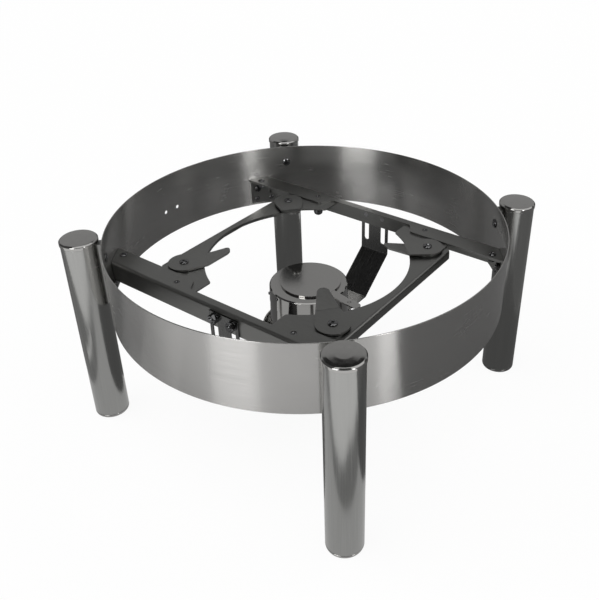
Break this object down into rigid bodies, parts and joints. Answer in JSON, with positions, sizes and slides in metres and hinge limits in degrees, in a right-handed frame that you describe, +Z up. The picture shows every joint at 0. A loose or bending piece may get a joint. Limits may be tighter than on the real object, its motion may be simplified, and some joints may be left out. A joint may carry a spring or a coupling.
{
  "type": "round chafing dish stand with fuel burner",
  "caption": "Round steel band on tube legs with swivelling pan lugs on a cross frame and a height-adjustable hanger that carries a lidded fuel burner under the pan.",
  "frame": {"origin": "on the table under the centre of the band", "axes": "+Z up; +X along the two rails; +Y from the front rail to the back rail"},
  "size_m": [0.45, 0.45, 0.2405],
  "materials": {
    "band_steel": "satin brushed, grain round the band",
    "leg_steel": "satin, grain along the tube",
    "sheet_steel": "fine matt rolled sheet",
    "strap_steel": "fine matt rolled sheet",
    "polished_steel": "polished",
    "fastener_steel": "bright zinc plated"
  },
  "bodies": {
    "frame": {"ring_band": "band_steel", "leg_tube_front_left": "leg_steel", "leg_tube_front_right": "leg_steel", "leg_tube_back_right": "leg_steel", "leg_tube_back_left": "leg_steel", "leg_cap_front_left": "polished_steel", "leg_cap_front_right": "polished_steel", "leg_cap_back_right": "polished_steel", "leg_cap_back_left": "polished_steel", "leg_foot_front_left": "polished_steel", "leg_foot_front_right": "polished_steel", "leg_foot_back_right": "polished_steel", "leg_foot_back_left": "polished_steel", "leg_spacer_front_left": "sheet_steel", "leg_spacer_front_right": "sheet_steel", "leg_spacer_back_right": "sheet_steel", "leg_spacer_back_left": "sheet_steel", "leg_bolts": "fastener_steel", "leg_nuts": "fastener_steel", "rail_front": "sheet_steel", "rail_back": "sheet_steel", "wall_bracket_front_left": "sheet_steel", "wall_bracket_front_right": "sheet_steel", "wall_bracket_back_right": "sheet_steel", "wall_bracket_back_left": "sheet_steel", "bracket_bolts": "fastener_steel", "bracket_nuts": "fastener_steel", "wall_studs": "fastener_steel", "wall_stud_nuts": "fastener_steel", "arm_left": "sheet_steel", "arm_right": "sheet_steel", "gusset_front_left": "sheet_steel", "gusset_front_right": "sheet_steel", "gusset_back_right": "sheet_steel", "gusset_back_left": "sheet_steel", "gusset_posts": "fastener_steel", "pivot_bolts": "fastener_steel", "pivot_washers": "fastener_steel", "pivot_nuts": "fastener_steel", "hanger_studs": "fastener_steel", "hanger_washers": "fastener_steel", "hanger_nuts": "fastener_steel"},
    "lug_front_left": {"pan_lug_front_left": "sheet_steel"},
    "lug_front_right": {"pan_lug_front_right": "sheet_steel"},
    "lug_back_right": {"pan_lug_back_right": "sheet_steel"},
    "lug_back_left": {"pan_lug_back_left": "sheet_steel"},
    "hanger": {"hanger_strap": "strap_steel", "burner_tray": "sheet_steel", "tray_rivets": "fastener_steel"},
    "burner": {"burner_housing": "polished_steel", "burner_base": "sheet_steel", "fuel_cup": "sheet_steel", "housing_rivets": "polished_steel"},
    "lid": {"burner_lid": "polished_steel"}
  },
  "joints": [
    {"name": "lug_front_left_swivel", "type": "hinge", "parent": "frame", "child": "lug_front_left", "pos_m": [-0.1045, -0.0945, 0.193], "axis": [0, 0, 1], "range_deg": [-64, 145]},
    {"name": "lug_front_right_swivel", "type": "hinge", "parent": "frame", "child": "lug_front_right", "pos_m": [0.1045, -0.0945, 0.193], "axis": [0, 0, 1], "range_deg": [-152, 57]},
    {"name": "lug_back_right_swivel", "type": "hinge", "parent": "frame", "child": "lug_back_right", "pos_m": [0.1045, 0.0945, 0.193], "axis": [0, 0, 1], "range_deg": [-64, 145]},
    {"name": "lug_back_left_swivel", "type": "hinge", "parent": "frame", "child": "lug_back_left", "pos_m": [-0.1045, 0.0945, 0.193], "axis": [0, 0, 1], "range_deg": [-152, 57]},
    {"name": "hanger_height", "type": "slide", "parent": "frame", "child": "hanger", "axis": [0, 0, 1], "range_m": [0, 0.034]},
    {"name": "burner_lift", "type": "slide", "parent": "hanger", "child": "burner", "axis": [0, 0, 1], "range_m": [0, 0.15]},
    {"name": "lid_lift", "type": "slide", "parent": "burner", "child": "lid", "axis": [0, 0, 1], "range_m": [0, 0.1]}
  ]
}
